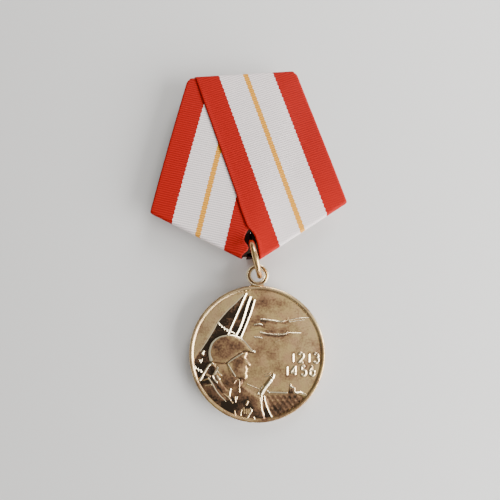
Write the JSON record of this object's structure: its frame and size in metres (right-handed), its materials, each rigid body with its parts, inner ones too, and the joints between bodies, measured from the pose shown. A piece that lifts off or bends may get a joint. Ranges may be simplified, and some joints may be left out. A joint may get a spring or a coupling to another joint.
{
  "type": "service medal on a ribbon block",
  "caption": "Round brass service medal with raised rim, hung by a wire ring from a five-sided ribbon block with a hinged fastening needle behind.",
  "frame": {"origin": "floor level under the middle of the whole outline, with the medal lying on its back", "axes": "+X to the right as seen from the front, +Y from the medal towards the block's top edge, +Z out of the front"},
  "size_m": [0.0462, 0.0842, 0.0098],
  "materials": {
    "medal_brass": "struck, half bright, slightly toned",
    "ring_brass": "bright drawn wire",
    "ribbon_silk": "ribbed woven ribbon, red edges, white fields and a narrow yellow centre stripe",
    "plate_aluminium": "stamped sheet, satin",
    "rivet_aluminium": "satin",
    "fitting_steel": "bent sheet, dull plated",
    "needle_steel": "drawn wire, bright"
  },
  "bodies": {
    "block": {"base_plate": "plate_aluminium", "back_plate": "plate_aluminium", "ribbon": "ribbon_silk", "pin_bracket": "fitting_steel", "pin_catch": "fitting_steel", "hinge_pin": "needle_steel", "fitting_rivet": "rivet_aluminium"},
    "ring": {"connecting_ring": "ring_brass"},
    "medal": {"medal_disc": "medal_brass"},
    "needle": {"pin_needle": "needle_steel"}
  },
  "joints": [
    {"name": "ring_swing", "type": "hinge", "parent": "block", "child": "ring", "pos_m": [0, 0.00037, 0.0049], "axis": [0, 0, 1], "range_deg": [-35, 15]},
    {"name": "medal_flip", "type": "hinge", "parent": "ring", "child": "medal", "pos_m": [0.00081, -0.00378, 0.0049], "axis": [0.9816, 0.1908, 0], "range_deg": [-100, 45]},
    {"name": "pin_open", "type": "hinge", "parent": "block", "child": "needle", "pos_m": [-0.013, 0.02562, 0.00125], "axis": [0, 1, 0], "range_deg": [0, 70]}
  ]
}
